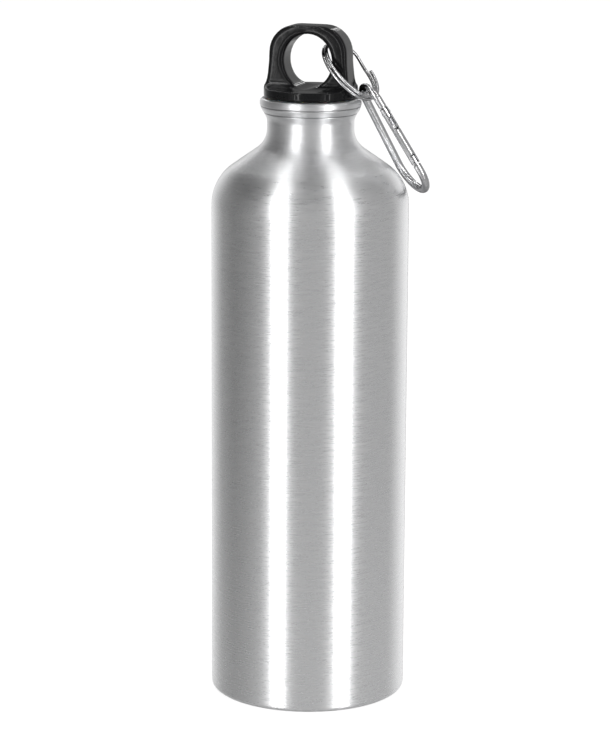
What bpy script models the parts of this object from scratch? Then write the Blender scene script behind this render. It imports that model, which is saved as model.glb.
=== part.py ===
"""Aluminium water bottle: spun shell, screw cap with a carrying loop, split ring and snap hook.

The bottle stands upright with the centre of its base at the origin and +Z along its axis.
The cap's loop lies in the XZ plane, so its hole runs along Y.
The split ring hangs from the loop's right leg, and the snap hook hangs from the ring.
All lengths are in metres and all angles in radians.
"""
import math

import bmesh
import bpy
from mathutils import Matrix, Vector

# Fits
SEAT_GAP = 0.0003            # between pieces that rest on each other
PIN_GAP = 0.00005            # radial, between a pin and its hole
OVERRUN = 0.0010             # how far a cut runs past the face it opens
ROOT = 0.0010                # how far a joined feature is sunk into what carries it

# Bottle shell
BODY_RADIUS = 0.0365
BODY_STRAIGHT_TOP = 0.1853
BODY_WALL = 0.0008
BASE_EDGE_RADIUS = 0.0020
BASE_THICKNESS = 0.0012
FOOT_WIDTH = 0.0035
RECESS_DEPTH = 0.0010
RECESS_RUN = 0.0025
INNER_HEEL_RADIUS = 0.0030
SHOULDER_CENTRE = 0.0188     # from the axis to the centre of the shoulder's arc
SHOULDER_SLOPE = math.radians(35)
COVE_RADIUS = 0.0093
NECK_RADIUS = 0.01604
NECK_WALL = 0.00194
NECK_LENGTH = 0.0027
FLARE_HEIGHT = 0.0066
LIP_OVERHANG = 0.00271       # past the neck
LIP_HEIGHT = 0.0086
LIP_EDGE_RADIUS = 0.0015
MOUTH_EDGE_RADIUS = 0.0005

# Cap
CAP_OVERHANG = 0.00131       # past the neck
CAP_RIM_HEIGHT = 0.0033
CAP_FLARE_RISE = 0.0050
FLARE_POWER = 4              # 2 would make the flare a quarter of an ellipse
LOOP_INSET = 0.00245         # from the cap's rim to the loop's side
LOOP_HALF_DEPTH = 0.0050
LOOP_HEIGHT = 0.0264
LOOP_CORNER_RADIUS = 0.0100
LOOP_ROUNDING = 0.0013
SIDE_SWEEP_POWER = 2.2       # how late the sides sweep out
FADE_START_SHARE = 0.4       # of the flare's rise, where the loop's rounding begins
FADE_END_SHARE = 0.9         # of the flare's rise, where it is full
LEAST_ROUNDING_SHARE = 0.2
LEAST_EDGE_ANGLE = math.radians(40)
MERGE_DISTANCE = 0.0001
WELD_DISTANCE = 0.00001
LOOP_LEG = 0.0056            # beside the hole
LOOP_BAR = 0.0031            # above the hole
HOLE_BOTTOM = 0.0035
THREAD_ROOM = 0.0014         # between plug and neck, filled by the screw threads
PLUG_LENGTH = 0.0120
PLUG_WALL = 0.0018
PLUG_CHAMFER = 0.0006
PLUG_ROOF_HEIGHT = 0.0013
GASKET_WIDTH = 0.0030
GASKET_THICKNESS = 0.0016
GASKET_ROUNDING = 0.0004

# Split ring
RING_RADIUS = 0.0127
RING_WIRE_WIDTH = 0.0012
RING_WIRE_THICKNESS = 0.00115
RING_TURN_GAP = 0.00042
RING_WIRE_CHAMFER = 0.00025
RING_JOG = math.radians(40)
RING_END_GAP = math.radians(6)
RING_JOG_PLACE = math.radians(10)
RING_TILT = math.radians(42.85)
RING_YAW = math.radians(-5.06)
RING_INSET = 0.000815        # from the loop's side to the ring's centre
RING_BACK = 0.003546
RING_DROP = 0.00364

# Snap hook; places along the gate are measured from where the small bend ends
HOOK_ROD_RADIUS = 0.0015
HOOK_SMALL_BEND = 0.0060
HOOK_LARGE_BEND = 0.0090
HOOK_BEND_SPACING = 0.0300
HOOK_LEAN = math.radians(30.64)
HOOK_HEADING = math.radians(41.78)
HOOK_ROLL = math.radians(1.7)
HOOK_OUT = 0.00983
HOOK_FORWARD = 0.00341
HOOK_DROP = 0.01024
TONGUE_THICKNESS = 0.0011
TONGUE_HALF_WIDTH = 0.0013
TONGUE_CHAMFER = 0.00025
RIVET_PLACE = 0.0050
RIVET_RADIUS = 0.00055
HINGE_HEEL = 0.0019          # from the rivet to the heel that the plunger presses
NOSE_TIP = 0.0234
NOSE_TIP_GAP = 0.00045
NOSE_PIN_PLACE = 0.0250
NOSE_PIN_RADIUS = 0.00045
PIN_PROUD = 0.00015
PIN_DOME = 0.0001
GATE_RADIUS = 0.0016
GATE_TOP = 0.0028
GATE_FORK_END = 0.0120
GATE_END = 0.0270
GATE_END_GAP = 0.0006
GATE_CHAMFER = 0.0002
GATE_BORE_RADIUS = 0.0010
PLUNGER_RADIUS = 0.00075
PLUNGER_LENGTH = 0.0030
PLUNGER_CHAMFER = 0.0002
PLUNGER_ROOM = 0.0006        # behind the plunger, for its travel
SPRING_WIRE_RADIUS = 0.000125
SPRING_RADIUS = 0.000625
SPRING_PITCH = 0.00072
SPRING_COILS = 8

# Smoothness of round forms
TURN_SIDES = 60
ROD_SIDES = 12
GATE_SIDES = 24
PIN_SIDES = 14
FLARE_STEPS = 8
RING_STEPS_A_TURN = 48
SPRING_POINTS_A_COIL = 9


def arc(centre, radius, start, end, steps):
    """Points of a circular arc in a plane, both ends included."""
    points = []
    for step in range(steps + 1):
        angle = start + (end - start) * step / steps
        points.append((centre[0] + radius * math.cos(angle), centre[1] + radius * math.sin(angle)))
    return points


def material(name, colour, roughness, metallic):
    """A plain surface of one colour."""
    made = bpy.data.materials.new(name)
    made.use_nodes = True
    surface = made.node_tree.nodes["Principled BSDF"]
    surface.inputs["Base Color"].default_value = (*colour, 1)
    surface.inputs["Roughness"].default_value = roughness
    surface.inputs["Metallic"].default_value = metallic
    made.diffuse_color = (*colour, 1)
    return made


def new_object(name, shape, surface=None, sharp=math.radians(35)):
    """Turn a bmesh into an object, smooth but for its sharp edges."""
    mesh = bpy.data.meshes.new(name)
    shape.to_mesh(mesh)
    shape.free()
    mesh.shade_smooth()
    mesh.set_sharp_from_angle(angle=sharp)
    made = bpy.data.objects.new(name, mesh)
    bpy.context.scene.collection.objects.link(made)
    if surface:
        mesh.materials.append(surface)
    return made


def turned(outline, sides):
    """A body turned about Z from an outline of (radius, height) points, on the axis or closed on itself."""
    shape = bmesh.new()
    rings = []
    for radius, height in outline:
        if radius == 0:
            rings.append([shape.verts.new((0, 0, height))])
            continue
        ring = []
        for side in range(sides):
            angle = math.tau * side / sides
            ring.append(shape.verts.new((radius * math.cos(angle), radius * math.sin(angle), height)))
        rings.append(ring)
    pairs = list(zip(rings, rings[1:]))
    if outline[0][0] != 0:
        pairs.append((rings[-1], rings[0]))
    for low, high in pairs:
        for side in range(sides):
            after = (side + 1) % sides
            corners = [low[side % len(low)], low[after % len(low)]]
            corners += [high[after % len(high)], high[side % len(high)]]
            shape.faces.new(list(dict.fromkeys(corners)))
    bmesh.ops.recalc_face_normals(shape, faces=shape.faces)
    return shape


def prism(outline, low, high, plane):
    """A body with a flat outline, extruded between two depths in the named plane."""
    shape = bmesh.new()
    near = [shape.verts.new(plane(u, v, low)) for u, v in outline]
    far = [shape.verts.new(plane(u, v, high)) for u, v in outline]
    shape.faces.new(near)
    shape.faces.new(list(reversed(far)))
    for index in range(len(outline)):
        after = (index + 1) % len(outline)
        shape.faces.new([near[after], near[index], far[index], far[after]])
    bmesh.ops.recalc_face_normals(shape, faces=shape.faces)
    return shape


def front_plane(across, height, depth):
    """An outline seen from the front, extruded along Y."""
    return (across, depth, height)


def side_plane(across, height, depth):
    """An outline seen from the side, extruded along X."""
    return (depth, across, height)


def flat_plane(across, along, depth):
    """An outline in the XY plane, extruded along Z."""
    return (across, along, depth)


def swept(rings):
    """A closed body through rings of points, capped at both ends."""
    shape = bmesh.new()
    loops = [[shape.verts.new(point) for point in ring] for ring in rings]
    shape.faces.new(loops[0])
    shape.faces.new(list(reversed(loops[-1])))
    for first, second in zip(loops, loops[1:]):
        for side in range(len(first)):
            after = (side + 1) % len(first)
            shape.faces.new([first[after], first[side], second[side], second[after]])
    bmesh.ops.recalc_face_normals(shape, faces=shape.faces)
    return shape


def guide(name, shape, parent=None):
    """A cutter or a filler that another piece's modifier uses and that isn't a piece itself."""
    made = new_object(name, shape)
    made.hide_render = True
    made.display_type = "WIRE"
    made.parent = parent
    return made


def combine(target, other, operation):
    """Join, cut or intersect a piece with a guide."""
    modifier = target.modifiers.new(other.name, "BOOLEAN")
    modifier.operation = operation
    modifier.object = other


def pin(radius, low, high, sides=PIN_SIDES):
    """A plain round pin along Z."""
    return turned([(0, low), (radius, low), (radius, high), (0, high)], sides)


def shoulder(radius, neck_radius, shoulder_radius, cove_radius):
    """Outline from the straight wall to the neck: a convex arc, a cone and a cove that meet smoothly."""
    turn = math.pi / 2 - SHOULDER_SLOPE
    bends = shoulder_radius + cove_radius
    run = (radius - neck_radius - bends * (1 - math.cos(turn))) / math.cos(SHOULDER_SLOPE)
    rise = bends * math.sin(turn) + run * math.sin(SHOULDER_SLOPE)
    convex = arc((radius - shoulder_radius, BODY_STRAIGHT_TOP), shoulder_radius, 0, turn, 7)
    cove_centre = (neck_radius + cove_radius, BODY_STRAIGHT_TOP + rise)
    return convex + arc(cove_centre, cove_radius, math.pi + turn, math.pi, 5)


INNER_RADIUS = BODY_RADIUS - BODY_WALL
SHOULDER_RADIUS = BODY_RADIUS - SHOULDER_CENTRE
BORE_RADIUS = NECK_RADIUS - NECK_WALL
LIP_RADIUS = NECK_RADIUS + LIP_OVERHANG
CAP_RADIUS = NECK_RADIUS + CAP_OVERHANG
LOOP_HALF_WIDTH = CAP_RADIUS - LOOP_INSET
HOLE_HALF_WIDTH = LOOP_HALF_WIDTH - LOOP_LEG
HOLE_HALF_HEIGHT = (LOOP_HEIGHT - LOOP_BAR - HOLE_BOTTOM) / 2
HOLE_HEIGHT = HOLE_BOTTOM + HOLE_HALF_HEIGHT
RING_OUT = LOOP_HALF_WIDTH - RING_INSET
FLOOR_HEIGHT = RECESS_DEPTH + BASE_THICKNESS
OUTER_SHOULDER = shoulder(BODY_RADIUS, NECK_RADIUS, SHOULDER_RADIUS, COVE_RADIUS)
INNER_SHOULDER = shoulder(INNER_RADIUS, BORE_RADIUS, SHOULDER_RADIUS - BODY_WALL, COVE_RADIUS + NECK_WALL)
FLARE_BOTTOM = OUTER_SHOULDER[-1][1] + NECK_LENGTH
LIP_TOP = FLARE_BOTTOM + LIP_HEIGHT
CAP_BOTTOM = LIP_TOP + SEAT_GAP
PLUG_RADIUS = BORE_RADIUS - THREAD_ROOM
HOLE_CENTRE = CAP_BOTTOM + HOLE_HEIGHT
GASKET_INNER = PLUG_RADIUS + SEAT_GAP
GASKET_OUTER = GASKET_INNER + GASKET_WIDTH
HINGE_SHOULDER = GATE_TOP - SEAT_GAP
NOSE_SHOULDER = GATE_END + GATE_END_GAP
SPRING_START = HINGE_HEEL + SEAT_GAP + PLUNGER_LENGTH + PLUNGER_ROOM
BORE_END = SPRING_START + SPRING_PITCH * SPRING_COILS + 2 * SPRING_WIRE_RADIUS + SEAT_GAP


def flare():
    """The outward sweep below the lip, level with the neck at its foot and upright at its top."""
    points = []
    steps = 6
    for step in range(steps + 1):
        part = step / steps
        swell = part * part * (3 - 2 * part)
        points.append((NECK_RADIUS + (LIP_RADIUS - NECK_RADIUS) * swell, FLARE_BOTTOM + FLARE_HEIGHT * part))
    return points


def bottle_shell(surface):
    """One spun shell with a recessed base, a round shoulder and a rolled lip, open at the mouth."""
    foot_outer = BODY_RADIUS - BASE_EDGE_RADIUS
    foot_inner = foot_outer - FOOT_WIDTH
    right = math.pi / 2
    outline = [(0, RECESS_DEPTH), (foot_inner - RECESS_RUN, RECESS_DEPTH), (foot_inner, 0)]
    outline += arc((foot_outer, BASE_EDGE_RADIUS), BASE_EDGE_RADIUS, -right, 0, 4)
    outline += OUTER_SHOULDER
    outline += flare()
    outline += arc((LIP_RADIUS - LIP_EDGE_RADIUS, LIP_TOP - LIP_EDGE_RADIUS), LIP_EDGE_RADIUS, 0, right, 4)
    mouth_centre = (BORE_RADIUS + MOUTH_EDGE_RADIUS, LIP_TOP - MOUTH_EDGE_RADIUS)
    outline += arc(mouth_centre, MOUTH_EDGE_RADIUS, right, 2 * right, 2)
    outline += reversed(INNER_SHOULDER)
    heel_centre = (INNER_RADIUS - INNER_HEEL_RADIUS, FLOOR_HEIGHT + INNER_HEEL_RADIUS)
    outline += arc(heel_centre, INNER_HEEL_RADIUS, 0, -right, 3)
    outline.append((0, FLOOR_HEIGHT))
    return new_object("bottle_shell", turned(outline, TURN_SIDES), surface)


def mirrored(half):
    """A closed outline from its right half, which runs from bottom to top."""
    return half + [(-across, height) for across, height in reversed(half)]


def flare_levels():
    """Heights of the flare's strips, closer together where it is flatter."""
    levels = []
    for step in range(FLARE_STEPS + 1):
        levels.append(CAP_RIM_HEIGHT + CAP_FLARE_RISE * (1 - math.cos(math.pi / 2 * step / FLARE_STEPS)))
    return levels


def flare_depth(height):
    """Half the cap's depth on the flare, from the skirt's front in to the loop's flat face."""
    level = 1 - (height - CAP_RIM_HEIGHT) / CAP_FLARE_RISE
    return CAP_RADIUS - (CAP_RADIUS - LOOP_HALF_DEPTH) * (1 - level ** FLARE_POWER) ** (1 / FLARE_POWER)


def side_reach(height):
    """Half the cap's width below the arch's round corner, where the sides sweep out to the skirt."""
    corner_height = LOOP_HEIGHT - LOOP_CORNER_RADIUS
    drop_share = max(0, 1 - max(0, height) / corner_height)
    return LOOP_HALF_WIDTH + (CAP_RADIUS - LOOP_HALF_WIDTH) * drop_share ** SIDE_SWEEP_POWER


def loop_front():
    """The cap seen from the front: sides that sweep in from the skirt and an arch with round corners."""
    corner = (LOOP_HALF_WIDTH - LOOP_CORNER_RADIUS, LOOP_HEIGHT - LOOP_CORNER_RADIUS)
    middle = (flare_levels()[-1] + corner[1]) / 2
    heights = [-OVERRUN, 0, *flare_levels(), middle]
    half = [(side_reach(height), height) for height in heights]
    half += arc(corner, LOOP_CORNER_RADIUS, 0, math.pi / 2, 8)
    return mirrored(half)


def loop_side():
    """The cap seen from the side: the flare from the rim in to the loop's flat faces."""
    reach = CAP_RADIUS + OVERRUN
    half = [(reach, -OVERRUN), (reach, CAP_RIM_HEIGHT)]
    half += [(flare_depth(height), height) for height in flare_levels()]
    half.append((LOOP_HALF_DEPTH, LOOP_HEIGHT + OVERRUN))
    return mirrored(half)


def loop_hole():
    """The finger hole's oval, with corners at the flare's levels so that its edge is even."""
    bottom = HOLE_HEIGHT - HOLE_HALF_HEIGHT
    angles = [-math.pi / 2]
    for height in flare_levels():
        if height > bottom:
            angles.append(math.asin((height - HOLE_HEIGHT) / HOLE_HALF_HEIGHT))
    steps = 10
    for step in range(1, steps + 1):
        angles.append(angles[-1] + (math.pi / 2 - angles[-1]) / (steps + 1 - step))
    half = [(HOLE_HALF_WIDTH * math.cos(angle), HOLE_HEIGHT + HOLE_HALF_HEIGHT * math.sin(angle))
            for angle in angles[1:-1]]
    top = (0, HOLE_HEIGHT + HOLE_HALF_HEIGHT)
    return [(0, bottom)] + half + [top] + [(-across, height) for across, height in reversed(half)]


def evaluated(target):
    """The shape of an object with its modifiers applied."""
    bpy.context.view_layer.update()
    shape = bmesh.new()
    shape.from_object(target, bpy.context.evaluated_depsgraph_get())
    return shape


def weigh_rounding(shape):
    """Mark the loop's edges for rounding: full on the arch, fading down the flare, none at the rim."""
    weights = shape.edges.layers.float.new("bevel_weight_edge")
    low = CAP_RIM_HEIGHT + FADE_START_SHARE * CAP_FLARE_RISE
    high = CAP_RIM_HEIGHT + FADE_END_SHARE * CAP_FLARE_RISE
    for edge in shape.edges:
        corners = [vertex.co for vertex in edge.verts]
        at_bottom = min(corner.z for corner in corners) < CAP_RIM_HEIGHT / 2
        on_skirt = all(corner.xy.length > CAP_RADIUS - SEAT_GAP for corner in corners)
        if at_bottom or on_skirt or edge.calc_face_angle() < LEAST_EDGE_ANGLE:
            continue
        height = (corners[0].z + corners[1].z) / 2
        edge[weights] = min(1, max(LEAST_ROUNDING_SHARE, (height - low) / (high - low)))


def loop_cap(surface):
    """One moulding: skirt, carrying loop and hollow screw plug, with a recess for the gasket."""
    reach = CAP_RADIUS + OVERRUN
    form = guide("cap_front_form", prism(loop_front(), -reach, reach, front_plane))
    side = guide("cap_side_form", prism(loop_side(), -reach, reach, side_plane))
    drum = guide("cap_drum_form", pin(CAP_RADIUS, 0, LOOP_HEIGHT + OVERRUN, TURN_SIDES))
    hole = guide("cap_hole_form", prism(loop_hole(), -reach, reach, front_plane))
    combine(form, side, "INTERSECT")
    combine(form, drum, "INTERSECT")
    combine(form, hole, "DIFFERENCE")
    shape = evaluated(form)
    bmesh.ops.remove_doubles(shape, verts=shape.verts, dist=MERGE_DISTANCE)
    weigh_rounding(shape)
    cap = new_object("loop_cap", shape, surface)
    rounding = cap.modifiers.new("rounding", "BEVEL")
    rounding.limit_method = "WEIGHT"
    rounding.width = LOOP_ROUNDING
    rounding.segments = 3
    rounding.use_clamp_overlap = False
    weld = cap.modifiers.new("weld", "WELD")
    weld.merge_threshold = WELD_DISTANCE
    seat = pin(GASKET_OUTER + SEAT_GAP, -OVERRUN, GASKET_THICKNESS + SEAT_GAP, TURN_SIDES)
    recess = guide("cap_recess_form", seat)
    plug = guide("cap_plug_form", turned(plug_outline(), TURN_SIDES))
    combine(cap, recess, "DIFFERENCE")
    combine(cap, plug, "UNION")
    for piece in (cap, form, side, drum, hole, recess, plug):
        piece.location.z = CAP_BOTTOM
    return cap


def plug_outline():
    """The screw plug, hollow from below, with a chamfer that starts it in the neck and its root in the cap."""
    tip = -PLUG_LENGTH
    top = GASKET_THICKNESS + SEAT_GAP + ROOT
    inner = PLUG_RADIUS - PLUG_WALL
    return [(0, PLUG_ROOF_HEIGHT), (inner, PLUG_ROOF_HEIGHT), (inner, tip), (PLUG_RADIUS - PLUG_CHAMFER, tip),
            (PLUG_RADIUS, tip + PLUG_CHAMFER), (PLUG_RADIUS, top), (0, top)]


def cap_gasket(surface):
    """The soft ring that the cap presses on the lip, with rounded corners."""
    right = math.pi / 2
    inner = GASKET_INNER + GASKET_ROUNDING
    outer = GASKET_OUTER - GASKET_ROUNDING
    low = GASKET_ROUNDING
    high = GASKET_THICKNESS - GASKET_ROUNDING
    outline = arc((outer, low), GASKET_ROUNDING, -right, 0, 2)
    outline += arc((outer, high), GASKET_ROUNDING, 0, right, 2)
    outline += arc((inner, high), GASKET_ROUNDING, right, 2 * right, 2)
    outline += arc((inner, low), GASKET_ROUNDING, 2 * right, 3 * right, 2)
    gasket = new_object("cap_gasket", turned(outline, TURN_SIDES), surface)
    gasket.location.z = CAP_BOTTOM
    return gasket


def wire_section():
    """The ring wire's section as (outward, along the ring's axis): a rectangle with chamfered corners."""
    across = RING_WIRE_WIDTH / 2
    along = RING_WIRE_THICKNESS / 2
    cut = RING_WIRE_CHAMFER
    quarter = [(across, along - cut), (across - cut, along)]
    half = quarter + [(-out, up) for out, up in reversed(quarter)]
    return half + [(-out, -up) for out, up in half]


def split_ring_rings():
    """Sections along the wire: one layer, a jog to the other, and on round to just short of the jog."""
    spread = RING_WIRE_THICKNESS + RING_TURN_GAP
    end = math.tau - RING_JOG / 2 - RING_END_GAP
    steps = round(RING_STEPS_A_TURN * 2 * end / math.tau)
    rings = []
    for step in range(steps + 1):
        turn = -end + 2 * end * step / steps
        part = min(1, max(0, turn / RING_JOG + 1 / 2))
        lift = spread * (part * part * (3 - 2 * part) - 1 / 2)
        angle = RING_JOG_PLACE + turn
        ring = []
        for out, up in wire_section():
            radius = RING_RADIUS + out
            ring.append(Vector((radius * math.cos(angle), radius * math.sin(angle), lift + up)))
        rings.append(ring)
    return rings


def least_gap(rings, apart):
    """Least distance between points of a tube that lie at least this many sections apart."""
    least = math.inf
    for index, ring in enumerate(rings):
        for other in rings[index + apart:]:
            least = min(least, min((here - there).length for here in ring for there in other))
    return least


def ring_matrix():
    """The ring's place: hung on the loop's right leg, tilted outward and turned a little."""
    outward = Vector((math.cos(RING_TILT) * math.cos(RING_YAW), math.sin(RING_YAW),
                      math.sin(RING_TILT) * math.cos(RING_YAW)))
    upward = Vector((-math.sin(RING_TILT), 0, math.cos(RING_TILT)))
    along = upward.cross(outward)
    turn = Matrix((along, upward, outward)).transposed().to_4x4()
    return Matrix.Translation((RING_OUT, RING_BACK, HOLE_CENTRE - RING_DROP)) @ turn


def split_ring(surface):
    """One flat wire wound nearly twice, with its ends on either side of the jog."""
    rings = split_ring_rings()
    print("least gap between the ring's turns, in metres:", round(least_gap(rings, RING_STEPS_A_TURN // 4), 6))
    ring = new_object("split_ring", swept(rings), surface)
    ring.matrix_world = ring_matrix()
    return ring


def on_gate_line(along, inward=0):
    """A point in the hook's plane, by its distance down the gate and its distance towards the spine."""
    lean = math.asin((HOOK_LARGE_BEND - HOOK_SMALL_BEND) / HOOK_BEND_SPACING)
    start = (HOOK_SMALL_BEND * math.cos(lean), -HOOK_SMALL_BEND * math.sin(lean))
    return (start[0] + along * math.sin(lean) - inward * math.cos(lean),
            start[1] + along * math.cos(lean) + inward * math.sin(lean))


def hook_path():
    """The rod's centre line: from the nose round the large bend, up the spine and over to the hinge."""
    lean = math.asin((HOOK_LARGE_BEND - HOOK_SMALL_BEND) / HOOK_BEND_SPACING)
    path = [on_gate_line(NOSE_SHOULDER)]
    path += arc((0, HOOK_BEND_SPACING), HOOK_LARGE_BEND, -lean, math.pi + lean, 18)
    path += arc((0, 0), HOOK_SMALL_BEND, math.pi + lean, math.tau - lean, 14)
    path.append(on_gate_line(HINGE_SHOULDER))
    return path


def rod_rings(path, radius):
    """Round sections, square to a path that lies in the XY plane."""
    rings = []
    for index, point in enumerate(path):
        before = Vector(path[max(0, index - 1)])
        after = Vector(path[min(len(path) - 1, index + 1)])
        ahead = (after - before).normalized()
        ring = []
        for side in range(ROD_SIDES):
            angle = math.tau * (side + 1 / 2) / ROD_SIDES
            across = radius * math.cos(angle)
            ring.append((point[0] - ahead.y * across, point[1] + ahead.x * across, radius * math.sin(angle)))
        rings.append(ring)
    return rings


def hinge_tongue():
    """The flat end that the gate's cheeks straddle, with clipped corners at its heel."""
    heel = RIVET_PLACE + HINGE_HEEL
    wide = TONGUE_HALF_WIDTH
    cut = TONGUE_CHAMFER
    places = [(HINGE_SHOULDER - ROOT, -wide), (heel - cut, -wide), (heel, cut - wide),
              (heel, wide - cut), (heel - cut, wide), (HINGE_SHOULDER - ROOT, wide)]
    return [on_gate_line(*place) for place in places]


def nose_tongue():
    """The flat nose that enters the gate's slot, with a notch for the cross pin, open to the spine."""
    root = NOSE_SHOULDER + ROOT
    wide = TONGUE_HALF_WIDTH
    cut = TONGUE_CHAMFER
    notch = NOSE_PIN_RADIUS + SEAT_GAP
    places = [(root, -wide), (NOSE_TIP + cut, -wide), (NOSE_TIP, cut - wide), (NOSE_TIP, wide - cut)]
    places += [(NOSE_TIP + cut, wide), (NOSE_PIN_PLACE - notch, wide)]
    places += arc((NOSE_PIN_PLACE, 0), notch, math.pi, math.tau, 6)
    places += [(NOSE_PIN_PLACE + notch, wide), (root, wide)]
    return [on_gate_line(*place) for place in places]


def hook_matrix():
    """The hook's place: its small bend hangs on the ring and its spine leans by the shoulder."""
    level = Vector((math.sin(HOOK_HEADING), -math.cos(HOOK_HEADING), 0))
    heading = Vector((math.cos(HOOK_HEADING), math.sin(HOOK_HEADING), 0))
    down = math.sin(HOOK_LEAN) * heading - math.cos(HOOK_LEAN) * Vector((0, 0, 1))
    sideways = level * math.cos(HOOK_ROLL) + level.cross(down) * math.sin(HOOK_ROLL)
    turn = Matrix((sideways, down, sideways.cross(down))).transposed().to_4x4()
    centre = Vector((RING_OUT + HOOK_OUT, RING_BACK - HOOK_FORWARD, HOLE_CENTRE - RING_DROP - HOOK_DROP))
    return Matrix.Translation(centre) @ turn


def carabiner_frame(surface):
    """The bent rod with its two flat ends; its origin is the middle of the small bend."""
    frame = new_object("carabiner_frame", swept(rod_rings(hook_path(), HOOK_ROD_RADIUS)), surface)
    half = TONGUE_THICKNESS / 2
    hinge = guide("hinge_tongue_form", prism(hinge_tongue(), -half, half, flat_plane), frame)
    nose = guide("nose_tongue_form", prism(nose_tongue(), -half, half, flat_plane), frame)
    bore = guide("frame_rivet_form", pin(RIVET_RADIUS + PIN_GAP, -half - OVERRUN, half + OVERRUN), frame)
    bore.location = (*on_gate_line(RIVET_PLACE), 0)
    combine(frame, hinge, "UNION")
    combine(frame, nose, "UNION")
    combine(frame, bore, "DIFFERENCE")
    frame.matrix_world = hook_matrix()
    return frame


def laid_along_x(shape):
    """Turn a shape made about Z to lie along X."""
    bmesh.ops.rotate(shape, verts=shape.verts, cent=(0, 0, 0), matrix=Matrix.Rotation(math.pi / 2, 3, "Y"))
    return shape


def box_outline(low, high, half_width):
    """A rectangle along X, as wide on both sides."""
    return [(low, -half_width), (high, -half_width), (high, half_width), (low, half_width)]


def carabiner_gate(surface, frame):
    """The tube that swings inward: forked over the hinge tongue, bored for its spring, slotted at its nose."""
    end = GATE_END - RIVET_PLACE
    top = RIVET_PLACE - GATE_TOP
    tip = end - GATE_CHAMFER
    outline = [(0, -top), (GATE_RADIUS, -top), (GATE_RADIUS, tip), (GATE_RADIUS - GATE_CHAMFER, end), (0, end)]
    gate = new_object("carabiner_gate", laid_along_x(turned(outline, GATE_SIDES)), surface)
    gate.parent = frame
    gate.location = (*on_gate_line(RIVET_PLACE), 0)
    lean = math.asin((HOOK_LARGE_BEND - HOOK_SMALL_BEND) / HOOK_BEND_SPACING)
    gate.rotation_euler.z = math.pi / 2 - lean
    reach = GATE_RADIUS + OVERRUN
    slot = TONGUE_THICKNESS / 2 + SEAT_GAP
    rounded = arc((0, 0), top, math.pi / 2, 3 * math.pi / 2, 12) + [(end + OVERRUN, -top), (end + OVERRUN, top)]
    crown = guide("gate_crown_form", prism(rounded, -reach, reach, flat_plane), gate)
    fork_outline = box_outline(-top - OVERRUN, GATE_FORK_END - RIVET_PLACE, reach)
    fork = guide("gate_fork_form", prism(fork_outline, -slot, slot, flat_plane), gate)
    mouth_outline = box_outline(NOSE_TIP - NOSE_TIP_GAP - RIVET_PLACE, end + OVERRUN, reach)
    mouth = guide("gate_mouth_form", prism(mouth_outline, -slot, slot, flat_plane), gate)
    bore_shape = laid_along_x(pin(GATE_BORE_RADIUS, HINGE_HEEL + PIN_GAP, BORE_END, GATE_SIDES))
    bore = guide("gate_bore_form", bore_shape, gate)
    rivet_hole = guide("gate_rivet_form", pin(RIVET_RADIUS + PIN_GAP, -reach, reach), gate)
    pin_hole = guide("gate_pin_form", pin(NOSE_PIN_RADIUS + PIN_GAP, -reach, reach), gate)
    pin_hole.location.x = NOSE_PIN_PLACE - RIVET_PLACE
    combine(gate, crown, "INTERSECT")
    for cutter in (fork, mouth, bore, rivet_hole, pin_hole):
        combine(gate, cutter, "DIFFERENCE")
    return gate


def domed_pin(name, radius, half_length, surface, gate):
    """A pin across the gate, with slightly domed ends."""
    flat = radius - PIN_DOME
    outline = [(0, -half_length), (flat, -half_length), (radius, PIN_DOME - half_length),
               (radius, half_length - PIN_DOME), (flat, half_length), (0, half_length)]
    made = new_object(name, turned(outline, PIN_SIDES), surface)
    made.parent = gate
    return made


def gate_plunger(surface, gate):
    """The plunger that the spring presses on the tongue's heel."""
    flat = PLUNGER_RADIUS - PLUNGER_CHAMFER
    outline = [(0, 0), (flat, 0), (PLUNGER_RADIUS, PLUNGER_CHAMFER)]
    outline += [(PLUNGER_RADIUS, PLUNGER_LENGTH), (0, PLUNGER_LENGTH)]
    plunger = new_object("gate_plunger", laid_along_x(turned(outline, PIN_SIDES)), surface)
    plunger.parent = gate
    plunger.location.x = HINGE_HEEL + SEAT_GAP
    return plunger


def gate_spring(surface, gate):
    """The coil that closes the gate, open wound."""
    wire = bpy.data.curves.new("gate_spring", "CURVE")
    wire.dimensions = "3D"
    wire.bevel_depth = SPRING_WIRE_RADIUS
    wire.bevel_resolution = 1
    wire.use_fill_caps = True
    wire.materials.append(surface)
    coil = wire.splines.new("POLY")
    count = SPRING_COILS * SPRING_POINTS_A_COIL + 1
    coil.points.add(count - 1)
    for index in range(count):
        turn = math.tau * index / SPRING_POINTS_A_COIL
        along = SPRING_WIRE_RADIUS + SPRING_PITCH * index / SPRING_POINTS_A_COIL
        coil.points[index].co = (along, SPRING_RADIUS * math.cos(turn), SPRING_RADIUS * math.sin(turn), 1)
    spring = bpy.data.objects.new("gate_spring", wire)
    bpy.context.scene.collection.objects.link(spring)
    spring.parent = gate
    spring.location.x = SPRING_START
    return spring


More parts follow.
